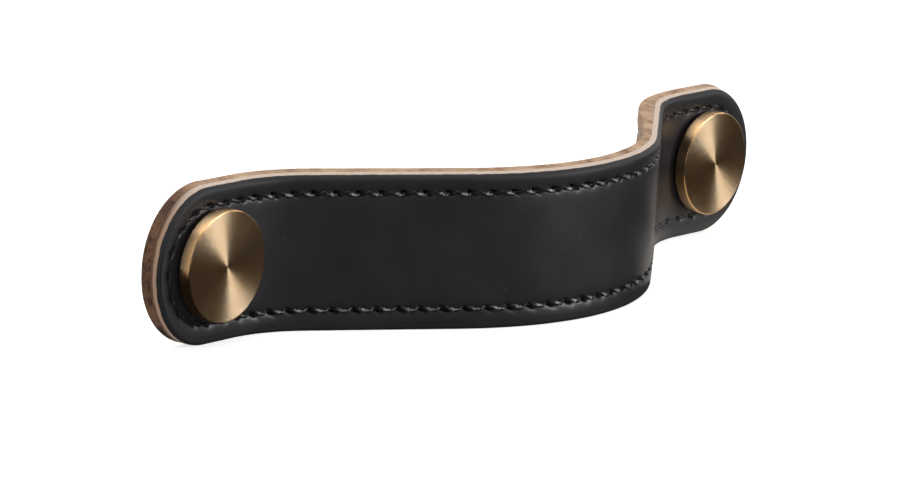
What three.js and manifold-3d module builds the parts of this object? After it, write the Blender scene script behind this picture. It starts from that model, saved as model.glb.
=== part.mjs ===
// Leather strap pull: a sewn two-layer leather strap, arched between two turned brass knobs.
// Millimetres, +Z up. X runs along the strap and the door face is the plane Y = 0.
// The strap stands off the door towards -Y. The origin is midway between the knob axes.

import * as THREE from 'three';
import { mergeVertices } from 'three/addons/utils/BufferGeometryUtils.js';
import Module from 'manifold-3d';

// Strap
const holeSpacing = 128;
const strapWidth = 25.4;
const frontThickness = 1.4;
const backThickness = 1.4;
const glueLine = 0.2;
const endOverhang = 1.1; // centre of a rounded end, outboard of its knob's axis

// Side profile, measured on the middle of the strap's thickness
const footBendRadius = 22;
const slopeAngle = THREE.MathUtils.degToRad(35);
const crownRadius = 41.6;
const padMargin = 0.5; // flat leather between a knob's collar and the bend

// Knobs
const headRadius = 8.9;
const headThickness = 2.1;
const headChamfer = 0.25;
const headBackChamfer = 0.15;
const headGap = 0.35; // between the rim's back and the leather that rises under it
const spigotRadius = 4;
const spigotClearance = 0.3;
const spigotSetback = 0.3; // spigot end, clear of the door face
const seatWidth = 1.2; // ring of leather that a collar bears on
const screwHoleRadius = 1.65; // tapping size of an M4 door screw
const screwHoleDepth = 3.4;
const drillPointAngle = THREE.MathUtils.degToRad(30);

// Stitching
const stitchInset = 3.4;
const stitchPitch = 3.6;
const threadRadius = 0.3;
const threadClearance = 0.35;
const slitClearance = 0.2;
const threadProud = 0.12; // top of the front stitches above the leather
const threadDip = 0.7; // how far the front thread goes down into a slit
const backThreadSink = 0.15; // back thread, in from the strap's back
const slitSlant = 0.35; // how far one side of a slit is shifted along the seam

// Fineness of the curves
const bendSteps = 5;
const endSteps = 18;
const knobSegments = 44;
const threadSides = 5;
const frontStepsPerStitch = 3;
const backStepsPerStitch = 1;

const knobX = holeSpacing / 2;
const strapThickness = frontThickness + glueLine + backThickness;
const middleHeight = backThickness + glueLine / 2;
const frontFace = strapThickness - middleHeight; // heights from the middle surface
const frontLayerBack = glueLine / 2;
const backLayerFront = -glueLine / 2;
const backFace = -middleHeight;

const collarRadius = spigotRadius + spigotClearance + seatWidth;
const footX = knobX - collarRadius - padMargin;
const crownLength = crownRadius * slopeAngle;
const footLength = footBendRadius * slopeAngle;
const slopeLength =
  (footX - (crownRadius + footBendRadius) * Math.sin(slopeAngle)) / Math.cos(slopeAngle);
const slopeEnd = crownLength + slopeLength;
const footEnd = slopeEnd + footLength;
const footRise = footBendRadius * (1 - Math.cos(slopeAngle));
const crownEdgeRise = footRise + slopeLength * Math.sin(slopeAngle);
const crownRise = crownEdgeRise + crownRadius * (1 - Math.cos(slopeAngle));

const endCentreX = knobX + endOverhang;
const endCentre = footEnd + endCentreX - footX; // the same, measured along the strap
const endRadius = strapWidth / 2;
const archHeight = strapThickness + crownRise;

const stitchRadius = endRadius - stitchInset;
const seamQuarter = (Math.PI / 2) * stitchRadius;
const seamHalf = 2 * (seamQuarter + endCentre);
const stitchCount = 2 * Math.round(seamHalf / stitchPitch);
const grooveWidth = 2 * (threadRadius + threadClearance);
const threadTopDepth = threadRadius - threadProud; // centre of a stitch, below the front face
const grooveDepth = threadTopDepth + threadRadius + threadClearance;
const diveRun = (2 * seamHalf) / stitchCount / frontStepsPerStitch;
const slitReach = diveRun * (1 - threadClearance / (threadDip - threadTopDepth));
const slitLength = 2 * (slitReach + slitClearance);
const slitWidth = 2 * (threadRadius + slitClearance);
const slitDepth = threadDip + threadRadius + slitClearance;
const backThreadDepth = threadRadius + backThreadSink;
const backGrooveDepth = backThreadDepth + threadRadius + threadClearance;
const cutMargin = 2; // cutting tools reach this far past what they cut
const weldDistance = 1e-5;

const wasm = await Module();
wasm.setup();

// Solids and geometries

function toSolid(geometry) {
  const bare = geometry.clone();
  bare.deleteAttribute('normal');
  bare.deleteAttribute('uv');
  const merged = mergeVertices(bare, weldDistance);
  return new wasm.Manifold(new wasm.Mesh({
    numProp: 3,
    vertProperties: new Float32Array(merged.attributes.position.array),
    triVerts: new Uint32Array(merged.index.array),
  }));
}

function toGeometry(solid) {
  const { vertProperties, triVerts } = solid.getMesh();
  const geometry = new THREE.BufferGeometry();
  geometry.setAttribute('position', new THREE.BufferAttribute(vertProperties, 3));
  geometry.setIndex(new THREE.BufferAttribute(triVerts, 1));
  geometry.computeVertexNormals();
  return geometry;
}

// The strap's curve

// Place and slope of the middle surface, at a distance along the strap from the crown.
function middleLine(distance) {
  const s = Math.abs(distance);
  const side = distance < 0 ? -1 : 1;
  if (s < crownLength) {
    const slope = s / crownRadius;
    const rise = crownRise - crownRadius * (1 - Math.cos(slope));
    return { x: side * crownRadius * Math.sin(slope), rise, slope: side * slope };
  }
  if (s < slopeEnd) {
    const along = s - crownLength;
    const x = crownRadius * Math.sin(slopeAngle) + along * Math.cos(slopeAngle);
    const rise = crownEdgeRise - along * Math.sin(slopeAngle);
    return { x: side * x, rise, slope: side * slopeAngle };
  }
  if (s < footEnd) {
    const slope = (footEnd - s) / footBendRadius;
    const x = footX - footBendRadius * Math.sin(slope);
    return { x: side * x, rise: footBendRadius * (1 - Math.cos(slope)), slope: side * slope };
  }
  return { x: side * (footX + s - footEnd), rise: 0, slope: 0 };
}

// A point of the bent strap: along it, across it, and out from its middle surface.
function strapPoint(distance, across, height) {
  const { x, rise, slope } = middleLine(distance);
  return new THREE.Vector3(
    x + height * Math.sin(slope),
    -(middleHeight + rise + height * Math.cos(slope)),
    across,
  );
}

// Distances along the strap where its side profile has a corner.
function profileStations() {
  const half = [];
  for (let i = 1; i <= bendSteps; i += 1) {
    half.push((crownLength * i) / bendSteps);
  }
  for (let i = 0; i <= bendSteps; i += 1) {
    half.push(slopeEnd + (footLength * i) / bendSteps);
  }
  half.push(endCentre + endRadius + cutMargin);
  return [...half.map((s) => -s).reverse(), 0, ...half];
}

// The strap's side profile between two heights, carried straight across the strap.
function profileBand(lowHeight, highHeight) {
  const stations = profileStations();
  const highEdge = stations.map((s) => strapPoint(s, 0, highHeight));
  const lowEdge = stations.map((s) => strapPoint(s, 0, lowHeight)).reverse();
  const outline = [...highEdge, ...lowEdge].map((p) => new THREE.Vector2(p.x, p.y));
  const width = strapWidth + 2 * cutMargin;
  const geometry = new THREE.ExtrudeGeometry(new THREE.Shape(outline), {
    depth: width,
    bevelEnabled: false,
  });
  return toSolid(geometry.translate(0, 0, -width / 2));
}

// The long round-ended outline that the strap and its seams follow.
function roundEnded(radius, Outline = THREE.Shape) {
  const outline = new Outline();
  outline.absarc(endCentreX, 0, radius, -Math.PI / 2, Math.PI / 2);
  outline.absarc(-endCentreX, 0, radius, Math.PI / 2, (3 * Math.PI) / 2);
  outline.closePath();
  return outline;
}

// An outline in X and Z, carried out from behind the door face to past the crown.
function throughDoorway(shape, curveSegments) {
  const depth = archHeight + 2 * cutMargin;
  const geometry = new THREE.ExtrudeGeometry(shape, { depth, curveSegments, bevelEnabled: false });
  return toSolid(geometry.rotateX(Math.PI / 2).translate(0, cutMargin, 0));
}

function seamGroove(lowHeight, highHeight) {
  const ring = roundEnded(stitchRadius + grooveWidth / 2);
  ring.holes.push(roundEnded(stitchRadius - grooveWidth / 2, THREE.Path));
  return throughDoorway(ring, endSteps).intersect(profileBand(lowHeight, highHeight));
}

function spigotHole(side) {
  const circle = new THREE.Shape();
  circle.absarc(side * knobX, 0, spigotRadius + spigotClearance, 0, 2 * Math.PI);
  return throughDoorway(circle, knobSegments);
}

// The seam

// A point of the seam on the flat leather, counted in stitches from the left end's tip.
// Both halves of the loop are alike: the second is the first turned half round.
function seamPlace(stitch) {
  const half = stitchCount / 2;
  const turned = stitch % stitchCount >= half;
  const travel = ((stitch % half) / half) * seamHalf;
  let place;
  if (travel < seamQuarter) {
    const turn = travel / stitchRadius;
    place = {
      along: -endCentre - stitchRadius * Math.cos(turn),
      across: stitchRadius * Math.sin(turn),
      heading: Math.PI / 2 - turn,
    };
  } else if (travel < seamQuarter + 2 * endCentre) {
    place = { along: travel - seamQuarter - endCentre, across: stitchRadius, heading: 0 };
  } else {
    const turn = (travel - seamQuarter - 2 * endCentre) / stitchRadius;
    place = {
      along: endCentre + stitchRadius * Math.sin(turn),
      across: stitchRadius * Math.cos(turn),
      heading: -turn,
    };
  }
  if (!turned) return place;
  return { along: -place.along, across: -place.across, heading: place.heading + Math.PI };
}

// A closed path once round the seam, with the same number of even steps in each stitch.
class SeamPath extends THREE.Curve {
  constructor(heightAt, stepsPerStitch) {
    super();
    this.heightAt = heightAt;
    this.steps = stitchCount * stepsPerStitch;
  }

  getPoint(t) {
    const stitch = (t % 1) * stitchCount;
    const { along, across } = seamPlace(stitch);
    return strapPoint(along, across, this.heightAt(stitch));
  }

  getPointAt(t) {
    return this.getPoint(t);
  }

  getTangentAt(t) {
    const step = 0.5 / this.steps;
    return this.getPoint(t + step).sub(this.getPoint(t + 1 - step)).normalize();
  }
}

// The front thread dives into the slit at the start of each stitch and lies level between.
function frontThreadHeight(stitch) {
  const fromSlit = Math.abs(stitch - Math.round(stitch));
  const lift = Math.min(1, fromSlit * frontStepsPerStitch);
  return frontFace - threadDip + lift * (threadDip - threadTopDepth);
}

// The back thread lies level in its groove, clear of the door.
function backThreadHeight() {
  return backFace + backThreadDepth;
}

function threadGeometry(heightAt, stepsPerStitch) {
  const path = new SeamPath(heightAt, stepsPerStitch);
  return new THREE.TubeGeometry(path, path.steps, threadRadius, threadSides, true);
}

// A slit is a leaning four-sided cut, square to the front face and in line with the seam.
function slitCutter(stitch) {
  const { along, across, heading } = seamPlace(stitch);
  const long = slitLength / 2;
  const wide = slitWidth / 2;
  const outline = new THREE.Shape([
    new THREE.Vector2(-long - slitSlant / 2, wide),
    new THREE.Vector2(-long + slitSlant / 2, -wide),
    new THREE.Vector2(long + slitSlant / 2, -wide),
    new THREE.Vector2(long - slitSlant / 2, wide),
  ]);
  const geometry = new THREE.ExtrudeGeometry(outline, {
    depth: slitDepth + cutMargin,
    bevelEnabled: false,
  });
  const { slope } = middleLine(along);
  const out = new THREE.Vector3(Math.sin(slope), -Math.cos(slope), 0);
  const down = new THREE.Vector3(Math.cos(slope), Math.sin(slope), 0);
  const up = new THREE.Vector3(0, 0, 1);
  const forward = down.clone().multiplyScalar(Math.cos(heading))
    .addScaledVector(up, Math.sin(heading));
  const left = new THREE.Vector3().crossVectors(out, forward);
  const frame = new THREE.Matrix4().makeBasis(forward, left, out);
  frame.setPosition(strapPoint(along, across, frontFace - slitDepth));
  return toSolid(geometry.applyMatrix4(frame));
}

// Leather layers

function leatherLayer(lowHeight, highHeight) {
  return profileBand(lowHeight, highHeight)
    .intersect(throughDoorway(roundEnded(endRadius), endSteps))
    .subtract(spigotHole(-1))
    .subtract(spigotHole(1));
}

function frontLeather() {
  const groove = seamGroove(frontFace - grooveDepth, frontFace + cutMargin);
  let leather = leatherLayer(frontLayerBack, frontFace).subtract(groove);
  for (let stitch = 0; stitch < stitchCount; stitch += 1) {
    leather = leather.subtract(slitCutter(stitch));
  }
  return toGeometry(leather);
}

function backLeather() {
  const groove = seamGroove(backFace - cutMargin, backFace + backGrooveDepth);
  return toGeometry(leatherLayer(backFace, backLayerFront).subtract(groove));
}

// Knobs

// A knob is turned in one piece: head, collar and spigot, with a blind screw hole behind.
function knobGeometry() {
  const footFrontRadius = footBendRadius - frontFace;
  const rimOverBend = Math.max(0, headRadius - collarRadius - padMargin);
  const riseUnderRim = footFrontRadius - Math.sqrt(footFrontRadius ** 2 - rimOverBend ** 2);
  const headBack = strapThickness + riseUnderRim + headGap;
  const headFront = headBack + headThickness;
  const holeFloor = spigotSetback + screwHoleDepth;
  const drillPoint = holeFloor + screwHoleRadius * Math.tan(drillPointAngle);
  const turned = [
    [0, headFront],
    [headRadius - headChamfer, headFront],
    [headRadius, headFront - headChamfer],
    [headRadius, headBack + headBackChamfer],
    [headRadius - headBackChamfer, headBack],
    [collarRadius, headBack],
    [collarRadius, strapThickness],
    [spigotRadius, strapThickness],
    [spigotRadius, spigotSetback],
    [screwHoleRadius, spigotSetback],
    [screwHoleRadius, holeFloor],
    [0, drillPoint],
  ];
  const profile = turned.map(([radius, height]) => new THREE.Vector2(radius, -height));
  return new THREE.LatheGeometry(profile, knobSegments);
}

// Materials

const blackLeather = new THREE.MeshStandardMaterial({ color: 0x2b2a2c, roughness: 0.5, metalness: 0 });
const tanLeather = new THREE.MeshStandardMaterial({ color: 0xb58f75, roughness: 0.8, metalness: 0 });
const blackThread = new THREE.MeshStandardMaterial({ color: 0x161517, roughness: 0.6, metalness: 0 });
const brushedBrass = new THREE.MeshStandardMaterial({ color: 0xb98d4f, roughness: 0.35, metalness: 1 });

// Assembly

const strapPull = new THREE.Group();

function addPiece(name, geometry, material, x = 0) {
  const mesh = new THREE.Mesh(geometry, material);
  mesh.name = name;
  mesh.position.x = x;
  strapPull.add(mesh);
}

addPiece('front_leather', frontLeather(), blackLeather);
addPiece('back_leather', backLeather(), tanLeather);
addPiece('front_thread', threadGeometry(frontThreadHeight, frontStepsPerStitch), blackThread);
addPiece('back_thread', threadGeometry(backThreadHeight, backStepsPerStitch), blackThread);
addPiece('left_knob', knobGeometry(), brushedBrass, -knobX);
addPiece('right_knob', knobGeometry(), brushedBrass, knobX);

export default strapPull;
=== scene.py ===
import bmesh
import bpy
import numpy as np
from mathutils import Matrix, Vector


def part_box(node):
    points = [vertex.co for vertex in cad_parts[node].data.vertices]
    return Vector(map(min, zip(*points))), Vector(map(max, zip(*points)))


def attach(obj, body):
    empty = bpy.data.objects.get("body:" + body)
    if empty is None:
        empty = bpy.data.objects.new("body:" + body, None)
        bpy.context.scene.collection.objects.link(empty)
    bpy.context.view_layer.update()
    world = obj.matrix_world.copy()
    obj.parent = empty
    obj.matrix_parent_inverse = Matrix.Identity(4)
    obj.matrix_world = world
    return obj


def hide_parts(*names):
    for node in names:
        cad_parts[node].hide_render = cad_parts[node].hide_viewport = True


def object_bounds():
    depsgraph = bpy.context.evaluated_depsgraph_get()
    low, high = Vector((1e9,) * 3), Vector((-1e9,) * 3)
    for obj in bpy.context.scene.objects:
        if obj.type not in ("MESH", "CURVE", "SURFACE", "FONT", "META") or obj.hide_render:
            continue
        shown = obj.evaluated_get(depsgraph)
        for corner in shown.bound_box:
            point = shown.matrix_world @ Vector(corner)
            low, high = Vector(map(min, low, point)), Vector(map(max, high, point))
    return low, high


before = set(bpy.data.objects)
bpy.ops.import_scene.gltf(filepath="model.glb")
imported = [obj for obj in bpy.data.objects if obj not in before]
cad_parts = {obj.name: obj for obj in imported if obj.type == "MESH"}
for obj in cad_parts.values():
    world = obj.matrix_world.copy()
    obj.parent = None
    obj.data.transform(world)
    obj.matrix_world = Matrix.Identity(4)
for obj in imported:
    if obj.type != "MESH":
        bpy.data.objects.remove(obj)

# %% [markdown]
# # A leather strap pull, dressed over its solid model
# The pull is two layers of leather, glued and sewn together round their whole edge. It bows out
# from the door between two round brass knobs. The solid model gives every piece its place and
# size. This script gives each piece the surface that a hand and an eye would find on it.
#
# All sizes are in metres. X runs along the strap, Z is up, and the door is the plane y = 0.

MM = 0.001
cad_low, cad_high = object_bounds()
random = np.random.default_rng(7)
print("solid model:", [round(v / MM, 1) for v in cad_high - cad_low], "mm")

# %% [markdown]
# ## The camera
# The pull was photographed from the left and a little above with a long lens, so the far knob
# is only slightly smaller than the near one. Turn, tilt and roll are given as angles, and the
# lens as the distance in pixels at which the picture plane lies.

# %% Camera
PICTURE_WIDTH = 900
SENSOR_WIDTH = 36
CAMERA_PLACE = np.array([-674.2, -520.8, 183.4]) * MM
CAMERA_TURN = np.radians(52.25)
CAMERA_TILT = np.radians(12.55)
CAMERA_ROLL = np.radians(3.39)
PICTURE_DISTANCE = 5350


def camera_axes(turn, tilt, roll):
    """Right, up and backward of a camera that looks along +Y, turned to +X, tilted down and rolled."""
    forward = np.array([np.sin(turn) * np.cos(tilt), np.cos(turn) * np.cos(tilt), -np.sin(tilt)])
    level = np.array([np.cos(turn), -np.sin(turn), 0])
    upright = np.cross(level, forward)
    right = np.cos(roll) * level + np.sin(roll) * upright
    up = np.cos(roll) * upright - np.sin(roll) * level
    return right, up, -forward


camera = bpy.data.objects.new("camera", bpy.data.cameras.new("camera"))
bpy.context.collection.objects.link(camera)
camera.data.sensor_width = SENSOR_WIDTH
camera.data.lens = PICTURE_DISTANCE * SENSOR_WIDTH / PICTURE_WIDTH
camera.data.clip_end = 100
turned = np.column_stack(camera_axes(CAMERA_TURN, CAMERA_TILT, CAMERA_ROLL))
camera.matrix_world = Matrix.Translation(CAMERA_PLACE) @ Matrix(turned.tolist()).to_4x4()
bpy.context.scene.camera = camera
print("lens:", round(camera.data.lens), "mm")

# %% [markdown]
# ## Sizes
# Most sizes are read from the solid model's boxes. The bends can't be read from a box, so
# their radii and angle are repeated here, on the middle of the strap's thickness.

# %% Sizes from the solid model
front_low, front_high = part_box("front_leather")
knob_low, knob_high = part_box("right_knob")
END_RADIUS = (front_high.z - front_low.z) / 2
END_CENTRE_X = front_high.x - END_RADIUS
KNOB_X = (knob_low.x + knob_high.x) / 2
HEAD_RADIUS = (knob_high.x - knob_low.x) / 2
HEAD_FRONT = -knob_low.y
SPIGOT_END = -knob_high.y
BACK_THICKNESS = 1.4 * MM
GLUE_LINE = 0.2 * MM
FRONT_THICKNESS = 1.4 * MM
STRAP_THICKNESS = FRONT_THICKNESS + GLUE_LINE + BACK_THICKNESS
MIDDLE_HEIGHT = BACK_THICKNESS + GLUE_LINE / 2
FRONT_FACE = STRAP_THICKNESS - MIDDLE_HEIGHT
BACK_FACE = -MIDDLE_HEIGHT
print("strap width", round(2 * END_RADIUS / MM, 1), "knob", round(2 * HEAD_RADIUS / MM, 1), "mm")

# %% [markdown]
# From the middle outwards the strap is a wide crown arc, a straight slope, a tighter foot arc
# and a flat end. The flat starts just beside the knob's collar, which sets the slope's length.

# %% Sizes of the bends
FOOT_RADIUS = 22 * MM
CROWN_RADIUS = 41.6 * MM
SLOPE_ANGLE = np.radians(35)
COLLAR_RADIUS = 5.5 * MM
PAD_MARGIN = 0.5 * MM
FOOT_X = KNOB_X - COLLAR_RADIUS - PAD_MARGIN
CROWN_LENGTH = CROWN_RADIUS * SLOPE_ANGLE
SLOPE_LENGTH = (FOOT_X - (CROWN_RADIUS + FOOT_RADIUS) * np.sin(SLOPE_ANGLE)) / np.cos(SLOPE_ANGLE)
FOOT_END = CROWN_LENGTH + SLOPE_LENGTH + FOOT_RADIUS * SLOPE_ANGLE
ARCS_RISE = (CROWN_RADIUS + FOOT_RADIUS) * (1 - np.cos(SLOPE_ANGLE))
CROWN_RISE = ARCS_RISE + SLOPE_LENGTH * np.sin(SLOPE_ANGLE)
END_CENTRE = FOOT_END + END_CENTRE_X - FOOT_X
print("crown stands", round((STRAP_THICKNESS + CROWN_RISE) / MM, 2), "mm off the door")

# %% [markdown]
# ## From flat leather to a bent strap
# The strap is cut, grooved and sewn flat, and bent last. So every surface here is first worked
# out flat, as a distance along the strap, a distance across it and a height from the middle of
# its thickness. One function then bends the whole array of points at once. A Curve modifier
# could bend it too, but a formula gives arcs of exact sizes and can be undone again later.
# Patterns that are tied to the flat sizes, such as grain and stitches, bend with the strap.

# %% Bending
def bend(flat):
    """Flat points (along, across, height) laid on a crown arc, a slope, a foot arc and a flat end."""
    along, across, height = np.moveaxis(flat, -1, 0)
    distance = np.abs(along)
    side = np.where(along < 0, -1.0, 1.0)
    crown_turn = np.clip(distance / CROWN_RADIUS, 0, SLOPE_ANGLE)
    on_slope = np.clip(distance - CROWN_LENGTH, 0, SLOPE_LENGTH)
    foot_turn = np.clip((FOOT_END - distance) / FOOT_RADIUS, 0, SLOPE_ANGLE)
    on_pad = np.maximum(distance - FOOT_END, 0)
    slope = np.minimum(crown_turn, foot_turn)
    x = CROWN_RADIUS * np.sin(crown_turn) + on_slope * np.cos(SLOPE_ANGLE) + on_pad
    x = x + FOOT_RADIUS * (np.sin(SLOPE_ANGLE) - np.sin(foot_turn)) + height * np.sin(slope)
    fall = CROWN_RADIUS * (1 - np.cos(crown_turn)) + on_slope * np.sin(SLOPE_ANGLE)
    fall = fall + FOOT_RADIUS * (np.cos(foot_turn) - np.cos(SLOPE_ANGLE))
    y = -(MIDDLE_HEIGHT + CROWN_RISE - fall + height * np.cos(slope))
    return np.stack([side * x, y, across], -1)


bent_foot = bend(np.array([FOOT_END, 0, 0]))
print("foot ends at", round(bent_foot[0] / MM, 2), "mm, wanted", round(FOOT_X / MM, 2), "mm")

# %% [markdown]
# ## The seam
# The stitches run round the strap at a fixed distance from its edge. Counting along the seam
# in stitches, from the tip of the left end, makes every whole number a needle slit. Lines at
# other distances from the edge are the same loop with other end radii, so one function gives
# them all.

# %% Places round the seam
STITCH_INSET = 3.4 * MM
STITCH_PITCH = 3.6 * MM
SEAM_RADIUS = END_RADIUS - STITCH_INSET
SEAM_QUARTER = np.pi / 2 * SEAM_RADIUS
SEAM_HALF = 2 * (SEAM_QUARTER + END_CENTRE)
STITCHES = 2 * round(SEAM_HALF / STITCH_PITCH)
EVEN_PITCH = 2 * SEAM_HALF / STITCHES


def round_the_strap(stitch, inset):
    """Along and across at a count of stitches and a distance in from the edge, and the way out there.

    The path is a quarter turn, a straight and a quarter turn, then the same turned half round.
    """
    half = STITCHES / 2
    travel = np.mod(stitch, half) / half * SEAM_HALF
    turned_round = np.where(np.mod(stitch, STITCHES) >= half, -1.0, 1.0)
    first_turn = np.clip(travel / SEAM_RADIUS, 0, np.pi / 2)
    straight = np.clip(travel - SEAM_QUARTER, 0, 2 * END_CENTRE)
    last_turn = np.clip((travel - SEAM_QUARTER - 2 * END_CENTRE) / SEAM_RADIUS, 0, np.pi / 2)
    facing = np.pi - first_turn - last_turn
    along = straight - END_CENTRE + (END_RADIUS - inset) * np.cos(facing)
    across = (END_RADIUS - inset) * np.sin(facing)
    rightwards = turned_round * np.cos(facing)
    upwards = turned_round * np.sin(facing)
    return turned_round * along, turned_round * across, rightwards, upwards


print(STITCHES, "stitches,", round(EVEN_PITCH / MM, 2), "mm each")

# %% [markdown]
# ## Meshes from grids
# Each piece is a grid of points: its rows are the points of a section, and its columns go
# round the strap, the thread or the lathe's axis. Rows that shrink to a point or a line are
# merged there, which closes the piece, and the faces are then turned to point outwards.

# %% Grid meshes
MERGE_DISTANCE = 1e-3 * MM


def tidy_mesh(mesh):
    """Merges points that lie on each other and turns the faces outwards."""
    work = bmesh.new()
    work.from_mesh(mesh)
    bmesh.ops.remove_doubles(work, verts=work.verts, dist=MERGE_DISTANCE)
    bmesh.ops.recalc_face_normals(work, faces=work.faces)
    work.to_mesh(mesh)
    work.free()


def grid_piece(name, points, sharp_angle, loop_rows=False):
    """A piece from points (rows, columns, 3): its columns close on themselves, and its rows if asked."""
    rows, columns, _ = points.shape
    row_gaps = rows if loop_rows else rows - 1
    row, column = np.meshgrid(np.arange(row_gaps), np.arange(columns), indexing="ij")
    next_row = (row + 1) % rows
    next_column = (column + 1) % columns
    corners = [(row, column), (row, next_column), (next_row, next_column), (next_row, column)]
    quads = np.stack([r * columns + c for r, c in corners], -1).reshape(-1, 4)
    mesh = bpy.data.meshes.new(name)
    mesh.from_pydata(points.reshape(-1, 3), [], quads)
    tidy_mesh(mesh)
    mesh.shade_smooth()
    mesh.set_sharp_from_angle(angle=np.radians(sharp_angle))
    piece = bpy.data.objects.new(name, mesh)
    bpy.context.collection.objects.link(piece)
    return piece


def mesh_points(mesh):
    """The mesh's points as an array."""
    places = np.empty(3 * len(mesh.vertices))
    mesh.vertices.foreach_get("co", places)
    return places.reshape(-1, 3)


def report(piece):
    """Prints how fine a piece is and whether it is closed."""
    work = bmesh.new()
    work.from_mesh(piece.data)
    open_edges = sum(not edge.is_manifold for edge in work.edges)
    triangles = sum(len(face.verts) - 2 for face in work.faces)
    work.free()
    print(piece.name, triangles, "triangles,", open_edges, "open edges")


# %% [markdown]
# ## Shader maths
# A finish is easier to read as a formula than as a row of nodes. A wire is a node's output,
# and arithmetic on wires adds Math nodes. Every other node comes from one method, which takes
# its type, its settings and what goes into its sockets.

# %% Wires and finishes
class Wire:
    """A node's output, on which arithmetic adds Math nodes."""

    def __init__(self, finish, socket):
        self.finish = finish
        self.socket = socket

    def maths(self, operation, *values):
        return self.finish.node("ShaderNodeMath", {"operation": operation}, dict(enumerate(values)))

    def __add__(self, other):
        return self.maths("ADD", self, other)

    def __sub__(self, other):
        return self.maths("SUBTRACT", self, other)

    def __rsub__(self, other):
        return self.maths("SUBTRACT", other, self)

    def __mul__(self, other):
        return self.maths("MULTIPLY", self, other)

    def __truediv__(self, other):
        return self.maths("DIVIDE", self, other)

    def __rtruediv__(self, other):
        return self.maths("DIVIDE", other, self)

    def __pow__(self, other):
        return self.maths("POWER", self, other)

    def __rpow__(self, other):
        return self.maths("POWER", other, self)

    __radd__ = __add__
    __rmul__ = __mul__

    def larger(self, other):
        return self.maths("MAXIMUM", self, other)

    def step(self, start, end):
        """0 before start, 1 after end, and a smooth rise between."""
        rise = {"interpolation_type": "SMOOTHSTEP"}
        return self.finish.node("ShaderNodeMapRange", rise, {0: self, 1: start, 2: end})


class Finish:
    """The nodes of a material, or of the world's light, to which formulas add their own."""

    def __init__(self, owner):
        owner.use_nodes = True
        self.owner = owner
        self.tree = owner.node_tree
        self.tree.nodes.clear()

    def node(self, kind, settings=None, sockets=None, output=0):
        """Adds a node: its settings first, a ramp's stops among them, then its values and links."""
        made = self.tree.nodes.new(kind)
        for name, value in (settings or {}).items():
            if name == "stops":
                set_stops(made.color_ramp, value)
            else:
                setattr(made, name, value)
        for name, value in (sockets or {}).items():
            if isinstance(value, Wire):
                self.tree.links.new(value.socket, made.inputs[name])
            else:
                made.inputs[name].default_value = value
        return Wire(self, made.outputs[output]) if made.outputs else None

    def attribute(self, name, output):
        """What is stored on the mesh under a name: output 1 for a vector, 2 for a number."""
        return self.node("ShaderNodeAttribute", {"attribute_name": name}, {}, output)

    def place(self):
        """Where a point lies on its piece, in metres."""
        return self.node("ShaderNodeTexCoord", {}, {}, 3)

    def part(self, vector, axis):
        """One of a vector's three numbers."""
        return self.node("ShaderNodeSeparateXYZ", {}, {0: vector}, axis)

    def noise(self, vector, scale, detail=2.0, roughness=0.5):
        sockets = {"Vector": vector, "Scale": scale, "Detail": detail, "Roughness": roughness}
        return self.node("ShaderNodeTexNoise", {}, sockets)

    def vector(self, operation, sockets):
        return self.node("ShaderNodeVectorMath", {"operation": operation}, sockets)

    def stretch(self, vector, factors):
        return self.vector("MULTIPLY", {0: vector, 1: factors})

    def blend(self, share, first, second):
        """One colour turning into another as share goes from 0 to 1."""
        return self.node("ShaderNodeMix", {"data_type": "RGBA"}, {0: share, 6: first, 7: second}, 2)

    def ramp(self, value, stops):
        return self.node("ShaderNodeValToRGB", {"stops": stops}, {0: value})

    def bump(self, height, strength, distance):
        sockets = {"Height": height, "Strength": strength, "Distance": distance}
        return self.node("ShaderNodeBump", {}, sockets)

    def surface(self, sockets):
        shader = self.node("ShaderNodeBsdfPrincipled", {}, sockets)
        self.node("ShaderNodeOutputMaterial", {}, {"Surface": shader})
        return self.owner


def new_finish(name):
    """The nodes of a new material."""
    return Finish(bpy.data.materials.new(name))


def set_stops(ramp, stops):
    """Puts (place, colour) stops on a ramp that starts with two."""
    while len(ramp.elements) < len(stops):
        ramp.elements.new(1)
    for element, (place, colour) in zip(ramp.elements, stops):
        element.position = place
        element.color = colour


# %% [markdown]
# Colours are given as they look on a screen, and turned into the linear light values that a
# shader works with.

# %% Colours
def screen_colour(red, green, blue):
    """Linear colour, with an alpha of 1, from three screen values of 0 to 255."""
    share = np.array([red, green, blue]) / 255
    linear = np.where(share <= 0.04045, share / 12.92, ((share + 0.055) / 1.055) ** 2.4)
    return (*linear.tolist(), 1.0)


print("a middle grey on a screen is", round(screen_colour(128, 128, 128)[0], 3), "in linear light")

# %% [markdown]
# ## Black front leather
# The front layer is dyed only on its surface, so its cut edge shows the pale leather inside.
# Its edge is rolled over a little by the tool that smooths it. Along the seam the tight thread
# pulls a soft trough into the leather, with a deeper pit at each slit and small lips of leather
# pushed up beside it. A height over a flat grid describes all of that, and a grid that follows
# the edge puts its fine rows where the seam is.

# %% Relief of the seam
COLUMNS_PER_STITCH = 20
COLUMN_CROWDING = 0.5
SLIT_PLACE_SPREAD = 0.07 * MM
SLIT_SIZE_SPREAD = 0.08
SLIT_TURN = np.radians(-27)
SLIT_HALF_LENGTH = 0.9 * MM
SLIT_HALF_WIDTH = 0.36 * MM
SLIT_DEPTH = 0.75 * MM
SLIT_WALL_SHAPE = 0.7
FUNNEL_BACK = 0.3 * MM
FUNNEL_SHIFT = 0.1 * MM
FUNNEL_LENGTH = 0.95 * MM
FUNNEL_WIDTH = 0.46 * MM
FUNNEL_DEPTH = 0.3 * MM
TROUGH_WIDTH = 0.42 * MM
TROUGH_DEPTH = 0.12 * MM
LIP_BACK = 0.25 * MM
LIP_SHIFT = 0.52 * MM
LIP_LENGTH = 0.65 * MM
LIP_WIDTH = 0.2 * MM
LIP_HEIGHT = 0.12 * MM
PULL_WIDTH = 1.3 * MM
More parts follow.
